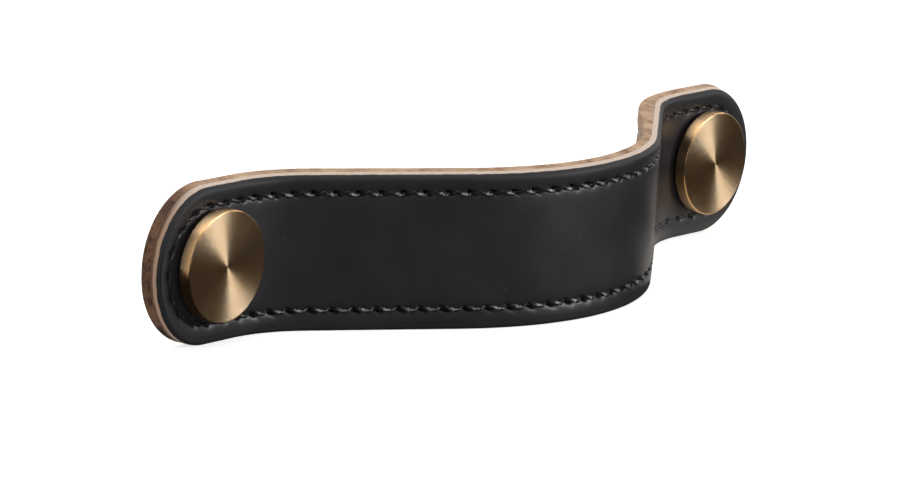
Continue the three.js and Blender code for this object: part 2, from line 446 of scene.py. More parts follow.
PULL_DEPTH = 0.1 * MM
MARGIN_CROWN = 0.08 * MM

slit_shift = random.normal(0, SLIT_PLACE_SPREAD, STITCHES)
slit_size = random.normal(1, SLIT_SIZE_SPREAD, STITCHES)
print("slits are", round(slit_size.min(), 2), "to", round(slit_size.max(), 2), "of their usual length")


def crowded(count):
    """Places round the seam, closer together near each slit: the even places minus a sine of them."""
    return count - COLUMN_CROWDING * np.sin(2 * np.pi * count) / (2 * np.pi)


def seam_relief(stitch, inset):
    """Height added to flat leather round the seam.

    It is a narrow and a wide bell-shaped trough along the seam. At each slit there is also a
    leaning bell-shaped funnel with a steep oval cut in it, and a bell-shaped lip on its inner side.
    """
    outward = STITCH_INSET - inset
    nearest = np.round(stitch).astype(int) % STITCHES
    from_slit = (stitch - np.round(stitch)) * EVEN_PITCH + slit_shift[nearest]
    along_slit = (from_slit * np.cos(SLIT_TURN) + outward * np.sin(SLIT_TURN)) / slit_size[nearest]
    across_slit = outward * np.cos(SLIT_TURN) - from_slit * np.sin(SLIT_TURN)
    trough = TROUGH_DEPTH * np.exp(-((outward / TROUGH_WIDTH) ** 2))
    pull = PULL_DEPTH * np.exp(-((outward / PULL_WIDTH) ** 2))
    along_funnel = (along_slit + FUNNEL_BACK) / FUNNEL_LENGTH
    across_funnel = (across_slit + FUNNEL_SHIFT) / FUNNEL_WIDTH
    funnel = FUNNEL_DEPTH * np.exp(-(along_funnel**2) - across_funnel**2)
    reach = (along_slit / SLIT_HALF_LENGTH) ** 2 + (across_slit / SLIT_HALF_WIDTH) ** 2
    slit = SLIT_DEPTH * np.clip(1 - reach, 0, 1) ** SLIT_WALL_SHAPE
    along_lip = (along_slit + LIP_BACK) / LIP_LENGTH
    across_lip = (across_slit + LIP_SHIFT) / LIP_WIDTH
    lip = LIP_HEIGHT * np.exp(-(along_lip**2) - across_lip**2)
    return lip - trough - pull - funnel - slit


# %% [markdown]
# The thread wasn't pulled equally tight everywhere. The front seam is boldest in the middle of
# the strap, a little flatter round the left end and flattest by the right knob. Cut leather is
# never quite flat or straight either, so the face has a few shallow waves and the edge wanders
# by some hundredths of a millimetre. Sums of sines do both, and repeat the same way on each run.

# %% Unevenness
RIGHT_FADE = 0.5
RIGHT_FADE_START = 12 * MM
RIGHT_FADE_LENGTH = 34 * MM
LEFT_FADE = 0.3
LEFT_FADE_START = 58 * MM
LEFT_FADE_LENGTH = 8 * MM
WAVE_SIZE = 0.05 * MM


def seam_boldness(along):
    """1 in the middle of the front seam, falling evenly from the start of each fade to its end."""
    right = np.clip((along - RIGHT_FADE_START) / RIGHT_FADE_LENGTH, 0, 1)
    left = np.clip((-along - LEFT_FADE_START) / LEFT_FADE_LENGTH, 0, 1)
    return 1 - RIGHT_FADE * right - LEFT_FADE * left


def waviness(along, across, size):
    """The mean of four slanting sine waves, as lengths in mm, directions and starts."""
    waves = 0
    for length, angle, start in ((31, 0.3, 1.0), (19, 1.9, 2.2), (13, 2.7, 4.1), (8, 0.9, 5.5)):
        line = along * np.cos(angle) + across * np.sin(angle)
        waves = waves + np.sin(line / (length * MM) * 2 * np.pi + start)
    return size * waves / 4


def edge_wobble(stitch, size):
    """The sum of sine waves with whole counts round the strap, weaker as they get shorter."""
    waves = 0
    for count, start in ((11, 0.4), (29, 2.1), (67, 5.0), (151, 3.3), (331, 1.2)):
        waves = waves + np.sin(stitch / STITCHES * count * 2 * np.pi + start) / np.sqrt(count)
    return size * waves


print("seam by the right knob is", round(float(seam_boldness(KNOB_X)), 2), "as bold as in the middle")

# %% [markdown]
# The section of a layer is a list of insets from the edge and heights, from the middle of one
# face, round the edge, to the middle of the other. The same list serves for both layers: the
# back layer is the front one turned over, with a sharper corner. The knife didn't cut quite
# square: the edge leans in towards the front along the top and at the left tip. On the right
# slope the back layer also stands away a little, and its face swells towards the door.

# %% Section of a layer
EDGE_LEAN = 0.65 * MM
LEFT_LEAN = 0.95 * MM
BACK_OVERHANG = 0.22 * MM
CORNER_OVERHANG = 0.28 * MM
OVERHANG_FADE = 0.6
LEAN_REACH = 1.4 * MM
SWELL = 1.3 * MM
SWELL_PLACE = 47 * MM
SWELL_LENGTH = 9 * MM
SEAM_ROWS = np.arange(-0.98, 0.99, 0.115) * MM + STITCH_INSET
MARGIN_ROWS = np.array([1.5, 1.8, 2.1]) * MM
INNER_ROWS = np.array([4.6, 5, 5.7, 7, 9, 11]) * MM
GLUED_ROWS = np.array([9, 4, 1.5, 0.8]) * MM
SIDE_STEPS = 6
ROLL_STEPS = 8
EDGE_SHARPNESS = 60

print(len(SEAM_ROWS), "rows of points lie across the seam")


def layer_section(glued_height, face_height, roll):
    """Insets and heights of a layer's section; its corner is a quarter of a circle."""
    outward = np.sign(face_height - glued_height)
    side_end = face_height - outward * roll
    side = np.linspace(glued_height, side_end, SIDE_STEPS)
    turn = np.linspace(0, np.pi / 2, ROLL_STEPS)[1:]
    face = np.concatenate([MARGIN_ROWS, SEAM_ROWS, INNER_ROWS, [END_RADIUS]])
    inset = np.concatenate([
        [END_RADIUS], GLUED_ROWS, np.zeros(SIDE_STEPS), roll * (1 - np.cos(turn)), face,
    ])
    height = np.concatenate([
        np.full(len(GLUED_ROWS) + 1, glued_height),
        side,
        side_end + outward * roll * np.sin(turn),
        np.full(len(face), face_height),
    ])
    return inset, height


def back_swell(along):
    """How far the back face stands out more than elsewhere: a bell shape on the right slope."""
    return SWELL * np.exp(-(((along - SWELL_PLACE) / SWELL_LENGTH) ** 2))


def edge_lean(height, rightwards, upwards):
    """How far in the edge is set at a height: nothing at the back, more towards the front.

    It is most along the top and at the left tip. At the back, the top hangs over a little
    instead, most of all round the upper corners.
    """
    forward = np.clip((height - BACK_FACE) / STRAP_THICKNESS, 0, 1)
    upper = np.clip(upwards, 0, 1)
    overhang = BACK_OVERHANG * upper + CORNER_OVERHANG * 2 * upper * np.sqrt(1 - upper**2)
    lean = EDGE_LEAN * (1 + upwards) / 2 + LEFT_LEAN * np.clip(-rightwards, 0, 1) ** 2
    return lean * forward - overhang * (1 - OVERHANG_FADE * forward)


def leather_layer(name, glued_height, face_height, roll, edge_size):
    """A closed layer of leather: its section carried round the strap, with relief, then bent."""
    inset, height = layer_section(glued_height, face_height, roll)
    stitch = crowded(np.arange(STITCHES * COLUMNS_PER_STITCH) / COLUMNS_PER_STITCH)
    stitch, inset = np.meshgrid(stitch, inset)
    height = np.repeat(height[:, None], stitch.shape[1], axis=1)
    outward = np.sign(face_height - glued_height)
    near_edge = np.clip((LEAN_REACH - inset) / MM, 0, 1)
    _, _, rightwards, upwards = round_the_strap(stitch, inset)
    wobble = edge_size - edge_wobble(stitch, edge_size)
    inset = inset + near_edge * (edge_lean(height, rightwards, upwards) + wobble)
    along, across, _, _ = round_the_strap(stitch, inset)
    on_face = np.clip(1 - (face_height - height) * outward / roll, 0, 1)
    margin = MARGIN_CROWN * np.sin(np.pi * np.clip(inset / STITCH_INSET, 0, 1))
    boldness = seam_boldness(along) if face_height > 0 else 1
    relief = seam_relief(stitch, inset) * boldness + margin - MARGIN_CROWN
    relief = relief + waviness(along, across, WAVE_SIZE)
    height = height + outward * on_face * relief
    height = height - np.clip(-height / BACK_THICKNESS, 0, 1) * back_swell(along)
    return grid_piece(name, bend(np.stack([along, across, height], -1)), EDGE_SHARPNESS)


# %% [markdown]
# Each layer has a hole for each knob's spigot. A boolean cuts them, because the round holes
# don't follow the grid. The flat coordinates are then worked out again for every point by
# undoing the bend, and stored on the mesh, so the finish can use them.

# %% Spigot holes and flat coordinates
SPIGOT_RADIUS = 4 * MM
SPIGOT_CLEARANCE = 0.3 * MM
HOLE_RADIUS = SPIGOT_RADIUS + SPIGOT_CLEARANCE
HOLE_SIDES = 96


def lathe_points(radii, heights, centre_x, sides):
    """Points of a profile turned about an axis along Y: rows down the profile, columns round it."""
    angle = np.arange(sides) / sides * 2 * np.pi
    radii = np.asarray(radii)[:, None]
    x = centre_x + radii * np.cos(angle)
    z = radii * np.sin(angle)
    y = np.repeat(-np.asarray(heights)[:, None], sides, axis=1)
    return np.stack([x, y, z], -1)


def cut_hole(piece, centre_x):
    """Cuts a round hole through a piece along Y."""
    reach = 2 * STRAP_THICKNESS
    radii = [0, HOLE_RADIUS, HOLE_RADIUS, 0]
    points = lathe_points(radii, [reach, reach, -reach, -reach], centre_x, HOLE_SIDES)
    cutter = grid_piece("hole_cutter", points, EDGE_SHARPNESS)
    cut = piece.modifiers.new("hole", "BOOLEAN")
    cut.operation = "DIFFERENCE"
    cut.solver = "MANIFOLD"
    cut.object = cutter
    shown = piece.evaluated_get(bpy.context.evaluated_depsgraph_get())
    mesh = bpy.data.meshes.new_from_object(shown)
    piece.modifiers.clear()
    piece.data = mesh
    bpy.data.objects.remove(cutter)


def unbend(points):
    """Flat along, across and height of bent points, by the bend that they lie nearest to."""
    x, y, across = np.moveaxis(points, -1, 0)
    out = -y - MIDDLE_HEIGHT
    crown_x, crown_out = np.abs(x), out - CROWN_RISE + CROWN_RADIUS
    foot_x, foot_out = FOOT_X - np.abs(x), FOOT_RADIUS - out
    crown_turn = np.arctan2(crown_x, crown_out)
    foot_turn = np.arctan2(foot_x, foot_out)
    slope_x = CROWN_RADIUS * np.sin(SLOPE_ANGLE)
    slope_out = CROWN_RISE - CROWN_RADIUS * (1 - np.cos(SLOPE_ANGLE))
    run = (np.abs(x) - slope_x) * np.cos(SLOPE_ANGLE) - (out - slope_out) * np.sin(SLOPE_ANGLE)
    lift = (np.abs(x) - slope_x) * np.sin(SLOPE_ANGLE) + (out - slope_out) * np.cos(SLOPE_ANGLE)
    cases = [np.abs(x) >= FOOT_X, crown_turn < SLOPE_ANGLE, foot_turn < SLOPE_ANGLE]
    distance = np.select(cases, [
        FOOT_END + np.abs(x) - FOOT_X, CROWN_RADIUS * crown_turn, FOOT_END - FOOT_RADIUS * foot_turn,
    ], CROWN_LENGTH + run)
    height = np.select(cases, [
        out, np.hypot(crown_x, crown_out) - CROWN_RADIUS, FOOT_RADIUS - np.hypot(foot_x, foot_out),
    ], lift)
    return np.stack([np.where(x < 0, -distance, distance), across, height], -1)


def store_flat(piece):
    """Stores the flat coordinates on the mesh, and the distance in from the strap's leaning edge."""
    flat = unbend(mesh_points(piece.data))
    along, across, height = flat.T
    beyond = along - np.clip(along, -END_CENTRE, END_CENTRE)
    from_middle = np.maximum(np.hypot(beyond, across), MERGE_DISTANCE)
    lean = edge_lean(height, beyond / from_middle, across / from_middle)
    inset = END_RADIUS - from_middle - lean
    piece.data.attributes.new("flat", "FLOAT_VECTOR", "POINT").data.foreach_set("vector", flat.ravel())
    piece.data.attributes.new("inset", "FLOAT", "POINT").data.foreach_set("value", inset)


probe = np.linspace([-END_CENTRE, 0, BACK_FACE], [END_CENTRE, 0, FRONT_FACE], 99)
probe_error = np.abs(unbend(bend(probe)) - probe).max()
print("unbent points are off by", round(probe_error / MM, 6), "mm at most")

# %% [markdown]
# The black finish is nearly smooth, with a fine pebbled grain that only shows in the gloss. The
# flat face is glossier than the rolled edge. Where the finish ends on the roll, the pale inside
# of the leather begins, with an uneven line between them. The cut edge is matt and fibrous.
# Round the left end it is painted darker as painted shade, browner beside the back layer. Noise
# on the flat coordinates makes all of this, so nothing smears where the strap bends.

# %% Black leather finish
BLACK_FACE = screen_colour(36, 35, 38)
BLACK_WORN = screen_colour(42, 41, 44)
SPECK = screen_colour(92, 88, 88)
PALE_EDGE = screen_colour(218, 200, 184)
PALE_EDGE_DARK = screen_colour(200, 177, 156)
# Colours of the painted shade on the cut edge round the left end.
PALE_PAINTED_SHADE = screen_colour(176, 146, 122)
BROWN_PAINTED_SHADE = screen_colour(108, 77, 57)
DYE_DEPTH = 0.6
DYE_LINE = 0.1
PAINTED_SHADE_FROM = END_CENTRE / MM + 2
PAINTED_SHADE_TO = END_CENTRE / MM + 10
PEBBLE_SCALE = 2300
SPECK_SCALE = 420
LEATHER_IOR = 1.5


def black_leather():
    """A dyed face over a pale cut edge, with the dye's depth and all distances in mm."""
    finish = new_finish("black_leather")
    flat = finish.attribute("flat", 1)
    inset = finish.attribute("inset", 2)
    height = finish.part(flat, 2)
    ragged = (finish.noise(flat, 500, 5, 0.6) - 0.5) * 0.3
    below_face = (FRONT_FACE - height) / MM + ragged
    below_dye = below_face.step(DYE_DEPTH - 0.4 * DYE_LINE, DYE_DEPTH + 0.6 * DYE_LINE)
    cut = below_dye * (1 - (inset / MM).step(1.2, 1.4))
    dyed = 1 - cut
    on_face = (inset / MM).step(0.2, 1.3)

    blotches = finish.noise(flat, 90, 4, 0.6)
    face = finish.blend(blotches.step(0.3, 0.75), BLACK_FACE, BLACK_WORN)
    specks = finish.node("ShaderNodeTexVoronoi", {}, {"Vector": flat, "Scale": SPECK_SCALE})
    speck = (1 - specks.step(0.03, 0.075)) * finish.noise(flat, 330, 1).step(0.5, 0.6)
    face = finish.blend(speck * 0.7, face, SPECK)
    fibres = finish.noise(finish.stretch(flat, (1, 1, 4)), 1500, 5, 0.65)
    pale = finish.blend(fibres.step(0.3, 0.62), PALE_EDGE_DARK, PALE_EDGE)
    leftwards = 0 - finish.part(flat, 0) / MM
    # Painted shade: the cut edge is painted darker round the left end, browner beside the back layer.
    left_end_shade = finish.blend(below_face.step(1.0, 1.25), PALE_PAINTED_SHADE, BROWN_PAINTED_SHADE)
    pale = finish.blend(leftwards.step(PAINTED_SHADE_FROM, PAINTED_SHADE_TO), pale, left_end_shade)

    pebble_sockets = {"Vector": flat, "Scale": PEBBLE_SCALE}
    pebbles = finish.node("ShaderNodeTexVoronoi", {"feature": "SMOOTH_F1"}, pebble_sockets)
    grain = pebbles * 0.6 + finish.noise(flat, 5200, 3) * 0.5
    relief = grain * dyed * 0.3 + fibres * cut
    return finish.surface({
        "Base Color": finish.blend(dyed, pale, face),
        "Roughness": 0.85 - dyed * (0.29 + on_face * 0.23 - blotches * 0.1),
        "IOR": LEATHER_IOR,
        "Normal": finish.bump(relief, 0.45, 0.07 * MM),
    })


# %% [markdown]
# ## Natural back leather
# The back layer is undyed and a little coarser. Its cut edge shows the layers of fibre. Round
# the left end the edge is painted darker and redder as painted shade.

# %% Tan leather finish
TAN_FACE = screen_colour(196, 160, 130)
TAN_FACE_DARK = screen_colour(176, 138, 108)
TAN_EDGE_LIGHT = screen_colour(202, 170, 140)
TAN_EDGE = screen_colour(176, 143, 115)
TAN_EDGE_DARK = screen_colour(138, 102, 76)
# Colours of the painted shade on the back layer's cut edge round the left end.
TAN_PAINTED_SHADE = screen_colour(122, 88, 66)
TAN_PAINTED_SHADE_DARK = screen_colour(72, 47, 34)
TAN_SHADE_FROM = END_CENTRE / MM + 1
TAN_SHADE_TO = END_CENTRE / MM + 7
RAW_LEATHER_IOR = 1.4


def tan_leather():
    """A porous back face and a fibrous cut edge, with all distances in mm."""
    finish = new_finish("tan_leather")
    flat = finish.attribute("flat", 1)
    inset = finish.attribute("inset", 2)
    on_face = (inset / MM).step(0.15, 0.4)
    patches = finish.noise(flat, 260, 4, 0.6)
    fibres = finish.noise(finish.stretch(flat, (1, 1, 3.5)), 1300, 6, 0.7)
    mottled = patches * 0.55 + fibres * 0.45
    cut = finish.ramp(mottled, [(0.39, TAN_EDGE_DARK), (0.47, TAN_EDGE), (0.58, TAN_EDGE_LIGHT)])
    # Painted shade: the cut edge is painted darker and redder round the left end.
    shaded_cut = finish.blend(mottled.step(0.4, 0.57), TAN_PAINTED_SHADE_DARK, TAN_PAINTED_SHADE)
    leftwards = 0 - finish.part(flat, 0) / MM + (patches - 0.5) * 5
    edge = finish.blend(leftwards.step(TAN_SHADE_FROM, TAN_SHADE_TO), cut, shaded_cut)
    face = finish.blend(finish.noise(flat, 420, 5, 0.65).step(0.3, 0.7), TAN_FACE_DARK, TAN_FACE)
    pores = finish.noise(flat, 3800, 4, 0.6)
    relief = fibres * (1 - on_face) + pores * on_face * 0.4
    return finish.surface({
        "Base Color": finish.blend(on_face, edge, face),
        "Roughness": 0.8 - fibres * 0.1,
        "IOR": RAW_LEATHER_IOR,
        "Normal": finish.bump(relief, 0.8, 0.16 * MM),
    })


# %% [markdown]
# Both layers are made the same way and cut for the spigots. In the solid model a gap stands for
# the glue line, but real glue closes it, so here the layers nearly meet. The front edge is
# rolled wide by the edging tool, and the back edge has only lost its sharp corner.

# %% Making both layers
GLUE_SHOWN = 0.01 * MM
FRONT_ROLL = 0.75 * MM
BACK_ROLL = 0.3 * MM
FRONT_WOBBLE = 0.02 * MM
BACK_WOBBLE = 0.04 * MM

front_layer = leather_layer("front_layer", GLUE_SHOWN, FRONT_FACE, FRONT_ROLL, FRONT_WOBBLE)
back_layer = leather_layer("back_layer", -GLUE_SHOWN, BACK_FACE, BACK_ROLL, BACK_WOBBLE)
for layer, node, material, slot in (
    (front_layer, "front_leather", black_leather(), "black_leather"),
    (back_layer, "back_leather", tan_leather(), "tan_leather"),
):
    for side in (-1, 1):
        cut_hole(layer, side * KNOB_X)
    store_flat(layer)
    layer.data.materials.clear()
    layer.data.materials.append(material)
    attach(layer, "root")
    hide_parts(node)
    report(layer)

# %% [markdown]
# ## Thread
# Between two slits the thread first lies low in its groove. Then it swells up over the leather,
# leaning the same way as the slits, and plunges into the next one. Only that plump part catches
# the light. The thread is three waxed strands twisted together, so its section is a circle with
# three lobes, which turns as it goes along. Whole turns fit the loop, so it closes without a step.
# A bevelled curve could make such a tube too. A formula is used so that the thread and the
# slits take their places from the same count. Where the seam is less bold, the thread is
# thinner and lies deeper.

# %% Thread
THREAD_RADIUS = 0.33 * MM
THREAD_RINGS_PER_STITCH = 24
THREAD_SIDES = 12
STRANDS = 3
LOBE_SIZE = 0.09
TURNS_PER_STITCH = 1.5
THINNEST = 0.7
SINK = 0.3 * MM
# Where the painted glint sits in each stitch, and where it fades out towards the right.
PAINTED_GLINT_PLACE = 0.64
PAINTED_GLINT_LENGTH = 0.27
PAINTED_GLINT_FADE_PLACE = 44 * MM
PAINTED_GLINT_FADE_LENGTH = 22 * MM
TWIST_SHARPNESS = 80
THREAD_PLACES = np.array([0, 0.14, 0.38, 0.55, 0.82, 0.93, 1])
FRONT_DEPTHS = np.array([1.05, 0.8, 0.26, 0.1, 0.13, 0.8, 1.05]) * MM
FRONT_SHIFTS = np.array([0, -0.2, 0.22, 0.02, -0.24, -0.14, 0]) * MM
BACK_DEPTHS = np.array([0.85, 0.75, 0.54, 0.5, 0.52, 0.75, 0.85]) * MM


def eased(within, places, values):
    """Values at places on the way, with an S-shaped rise or fall from each to the next."""
    before = np.clip(np.searchsorted(places, within, side="right") - 1, 0, len(places) - 2)
    share = (within - places[before]) / (places[before + 1] - places[before])
    return values[before] + (values[before + 1] - values[before]) * share * share * (3 - 2 * share)


def seam_thread(name, face_height, depths, shifts):
    """A closed tube round the seam, its circle of lobes turning with the count of stitches.

    Depths under the face and shifts across it are given at places in a stitch. The share of
    painted glint is a bell shape in each stitch, on the side that faces out, which fades
    towards the right.
    """
    stitch = np.arange(STITCHES * THREAD_RINGS_PER_STITCH) / THREAD_RINGS_PER_STITCH
    outward = np.sign(face_height)
    depth = eased(stitch % 1, THREAD_PLACES, depths)
    shift = eased(stitch % 1, THREAD_PLACES, shifts)
    along, across, _, _ = round_the_strap(stitch, STITCH_INSET - shift)
    boldness = seam_boldness(along) if face_height > 0 else 1 + 0 * along
    depth = depth + (1 - boldness) * SINK - (outward < 0) * back_swell(along)
    path = bend(np.stack([along, across, face_height - outward * depth], -1))
    above = bend(np.stack([along, across, face_height + outward * MM + 0 * depth], -1))
    tangent = np.roll(path, -1, axis=0) - np.roll(path, 1, axis=0)
    tangent = tangent / np.linalg.norm(tangent, axis=1, keepdims=True)
    side = np.cross(tangent, above - path)
    side = side / np.linalg.norm(side, axis=1, keepdims=True)
    lift = np.cross(side, tangent)
    angle = np.arange(THREAD_SIDES) / THREAD_SIDES * 2 * np.pi
    twist = stitch[:, None] * TURNS_PER_STITCH * 2 * np.pi
    radius = THREAD_RADIUS * (1 + LOBE_SIZE * np.cos(STRANDS * (angle - twist)))[..., None]
    radius = radius * (THINNEST + (1 - THINNEST) * boldness[:, None, None])
    ring = np.cos(angle)[:, None] * side[:, None] + np.sin(angle)[:, None] * lift[:, None]
    tube = grid_piece(name, path[:, None] + radius * ring, TWIST_SHARPNESS, loop_rows=True)
    # Painted glint: a pale share on the outward side of each stitch's plump part, fading towards the
    # right.
    painted_glint_along = np.exp(-(((stitch % 1 - PAINTED_GLINT_PLACE) / PAINTED_GLINT_LENGTH) ** 2))
    painted_glint_along = painted_glint_along * np.clip((PAINTED_GLINT_FADE_PLACE - along) / PAINTED_GLINT_FADE_LENGTH, 0, 1) * boldness
    worn = painted_glint_along[:, None] * np.clip(np.sin(angle), 0, 1)[None, :]
    tube.data.attributes.new("worn", "FLOAT", "POINT").data.foreach_set("value", worn.ravel())
    return tube


# %% [markdown]
# Waxed thread shines more than the leather round it. On the plump part of each stitch a pale
# colour is painted in places on the side that faces out, as a painted glint. The mesh stores
# where that may be, and a fine noise breaks it up. One even colour would make the stitches look
# like beads.

# %% Thread finish
THREAD_COLOUR = screen_colour(28, 27, 29)
THREAD_LIGHT = screen_colour(48, 46, 48)
# Pale colour of the painted glint on the thread.
THREAD_PAINTED_GLINT = screen_colour(178, 174, 172)
FUZZ_SCALE = 5000
PAINTED_GLINT_BREAKUP_SCALE = 3200


def waxed_thread():
    finish = new_finish("waxed_thread")
    place = finish.place()
    fuzz = finish.noise(place, FUZZ_SCALE, 4, 0.7)
    thread = finish.blend(fuzz.step(0.4, 0.7), THREAD_COLOUR, THREAD_LIGHT)
    # The pale thread colour below is a painted glint.
    worn = finish.attribute("worn", 2)
    worn = (worn * (finish.noise(place, PAINTED_GLINT_BREAKUP_SCALE, 4, 0.7) * 2.2 - 0.2)).step(0.55, 1.15)
    return finish.surface({
        "Base Color": finish.blend(worn, thread, THREAD_PAINTED_GLINT),
        "Roughness": 0.22 + fuzz * 0.14,
        "Normal": finish.bump(fuzz, 0.4, 0.04 * MM),
    })


thread_finish = waxed_thread()
front_stitches = seam_thread("front_stitches", FRONT_FACE, FRONT_DEPTHS, FRONT_SHIFTS)
back_stitches = seam_thread("back_stitches", BACK_FACE, BACK_DEPTHS, 0 * FRONT_SHIFTS)
for stitches, node in ((front_stitches, "front_thread"), (back_stitches, "back_thread")):
    stitches.data.materials.append(thread_finish)
    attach(stitches, "root")
    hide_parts(node)
    report(stitches)

# %% [markdown]
# ## Brass knobs
# Each knob is turned from bar, so its shape is a profile spun round an axis: a flat face with a
# small bright rounding, the rim, the collar that bears on the leather, the spigot, and the blind
# hole that takes the door screw.

# %% Knob shape
HEAD_THICKNESS = 2.1 * MM
FACE_ROUNDING = 0.25 * MM
ROUND_STEPS = 7
EDGE_BAND = 0.02 * MM
BACK_CHAMFER = 0.15 * MM
SCREW_RADIUS = 1.65 * MM
SCREW_DEPTH = 3.4 * MM
DRILL_POINT = SCREW_RADIUS * np.tan(np.radians(30))
KNOB_SIDES = 256
TURNED_SHARPNESS = 25


def knob(name, centre_x):
    """A closed turned knob from a profile of radii and heights off the door."""
    head_back = HEAD_FRONT - HEAD_THICKNESS
    hole_floor = SPIGOT_END + SCREW_DEPTH
    turn = np.linspace(0, np.pi / 2, ROUND_STEPS)
    rounded_radii = HEAD_RADIUS - FACE_ROUNDING * (1 - np.sin(turn))
    rounded_heights = HEAD_FRONT - FACE_ROUNDING * (1 - np.cos(turn))
    corners = np.array([
        (HEAD_RADIUS, head_back + BACK_CHAMFER),
        (HEAD_RADIUS - BACK_CHAMFER, head_back),
        (COLLAR_RADIUS, head_back),
        (COLLAR_RADIUS, STRAP_THICKNESS),
        (SPIGOT_RADIUS, STRAP_THICKNESS),
        (SPIGOT_RADIUS, SPIGOT_END),
        (SCREW_RADIUS, SPIGOT_END),
        (SCREW_RADIUS, hole_floor),
        (0, hole_floor + DRILL_POINT),
    ])
    face_radii = [0, 0.5 * HEAD_RADIUS, rounded_radii[0] - EDGE_BAND]
    radii = np.concatenate([face_radii, rounded_radii, corners[:, 0]])
    heights = np.concatenate([np.full(3, HEAD_FRONT), rounded_heights, corners[:, 1]])
    return grid_piece(name, lathe_points(radii, heights, centre_x, KNOB_SIDES), TURNED_SHARPNESS)


print("knob face is", round((HEAD_RADIUS - FACE_ROUNDING) / MM, 2), "mm from its axis to its rounding")

# %% [markdown]
# The face was brushed as it spun, so it is covered in fine rings. Every ring leans the light a
# little towards or away from the centre, which draws the bright fan across the face. A shader
# can't show rings finer than a pixel one by one, so the finish is a mix of metals, each with
# its normal leant by one set amount, many by little and few by much. The mix is smooth, and
# faint rings that are wide enough to see are added to all of them. The metals that lean most
# are paler, so the fans are paler at their sides. On the right knob all the normals are also
# turned a little sideways, so that the bright fans of both knobs stand alike.

# %% Brass finish
BRASS = screen_colour(230, 182, 127)
BRASS_DEEP = screen_colour(218, 166, 109)
# Paler brass for the steepest metals: a painted highlight tint.
BRASS_PAINTED_SHINE_WARM = screen_colour(235, 202, 158)
BRASS_PAINTED_SHINE = screen_colour(241, 217, 184)
BRASS_ROUGHNESS = 0.225
LEANS = np.linspace(-0.36, 0.36, 7)
LEAN_SPREAD = 0.18
STEEP_LEAN = 0.2
RINGS_PER_MM = 7
RING_LEAN = 0.16
RIGHT_SKEW = -0.045


def leant_normal(finish, normal, direction, amount):
    """A normal pushed along a direction by an amount, and brought back to length 1."""
    push = finish.vector("SCALE", {0: direction, "Scale": amount})
    return finish.vector("NORMALIZE", {0: finish.vector("ADD", {0: normal, 1: push})})


def brushed_brass(name, centre_x, skew):
    """Seven metals with leant normals, mixed by shares that fall off in a bell shape."""
    finish = new_finish(name)
    away = {"Vector": finish.place(), "Location": (-centre_x, 0, 0)}
    centred = finish.node("ShaderNodeMapping", {}, away)
    x = finish.part(centred, 0)
    y = finish.part(centred, 1)
    z = finish.part(centred, 2)
    radius = (x * x + z * z) ** 0.5 + 1e-6
    round_axis = finish.node("ShaderNodeCombineXYZ", {}, {0: z / radius, 1: 0.0, 2: 0 - x / radius})
    straight = finish.node("ShaderNodeNewGeometry", {}, {}, 1)
    normal = leant_normal(finish, straight, (1, 0, 0), skew)
    lean = finish.vector("CROSS_PRODUCT", {0: normal, 1: round_axis})
    along_profile = (radius + y) / MM + finish.noise(centred, 120, 1) * 0.02
    rings = finish.node("ShaderNodeTexNoise", {"noise_dimensions": "1D"}, {
        "W": along_profile * RINGS_PER_MM, "Scale": 1.0, "Detail": 3.0, "Roughness": 0.6,
    })
    tone = finish.noise(centred, 200, 3)
    colour = finish.blend(tone.step(0.3, 0.7), BRASS_DEEP, BRASS)
    # The paler colour of the steepest metals is a painted highlight tint for the fans' sides.
    painted_shine = finish.blend(tone.step(0.3, 0.7), BRASS_PAINTED_SHINE_WARM, BRASS_PAINTED_SHINE)
    shares = np.exp(-((LEANS / LEAN_SPREAD) ** 2) / 2)
    mixed = None
    for amount, share, total in zip(LEANS, shares, np.cumsum(shares)):
        metal = finish.node("ShaderNodeBsdfPrincipled", {}, {
            "Base Color": painted_shine if abs(amount) > STEEP_LEAN else colour,
            "Metallic": 1.0,
            "Roughness": BRASS_ROUGHNESS,
            "Normal": leant_normal(finish, normal, lean, (rings - 0.5) * RING_LEAN + float(amount)),
        })
        pair = {0: float(share / total), 1: mixed, 2: metal}
        mixed = finish.node("ShaderNodeMixShader", {}, pair) if mixed else metal
    finish.node("ShaderNodeOutputMaterial", {}, {"Surface": mixed})
    return finish.owner


for side, name, skew in ((-1, "left_knob", 0.0), (1, "right_knob", RIGHT_SKEW)):
    turned_knob = knob(name + "_turned", side * KNOB_X)
    turned_knob.data.materials.append(brushed_brass(name + "_brass", side * KNOB_X, skew))
    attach(turned_knob, "root")
    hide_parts(name)
    report(turned_knob)

# %% [markdown]
# ## Floor and light
# The pull stands on its lower edge on a pale floor. The floor and the far background are made
# white for the camera, for gloss and for glass by their own light, so no lamp has to burn
# them out, and the floor keeps the soft shadow of the pull.

# %% Floor
FLOOR_SIZE = 12
FLOOR_COLOUR = (0.8, 0.8, 0.8, 1)
FLOOR_GLOW = 0.7


def seen_directly(finish):
    """1 where a camera, glossy or transmission ray meets the surface, else 0."""
    camera_ray = finish.node("ShaderNodeLightPath", {}, {}, "Is Camera Ray")
    glossy_ray = finish.node("ShaderNodeLightPath", {}, {}, "Is Glossy Ray")
    glass_ray = finish.node("ShaderNodeLightPath", {}, {}, "Is Transmission Ray")
    return camera_ray.larger(glossy_ray).larger(glass_ray)


def plane(name, corners):
    """A flat sheet with its corners in order."""
    mesh = bpy.data.meshes.new(name)
    mesh.from_pydata(corners, [], [tuple(range(len(corners)))])
    sheet = bpy.data.objects.new(name, mesh)
    bpy.context.collection.objects.link(sheet)
    return sheet


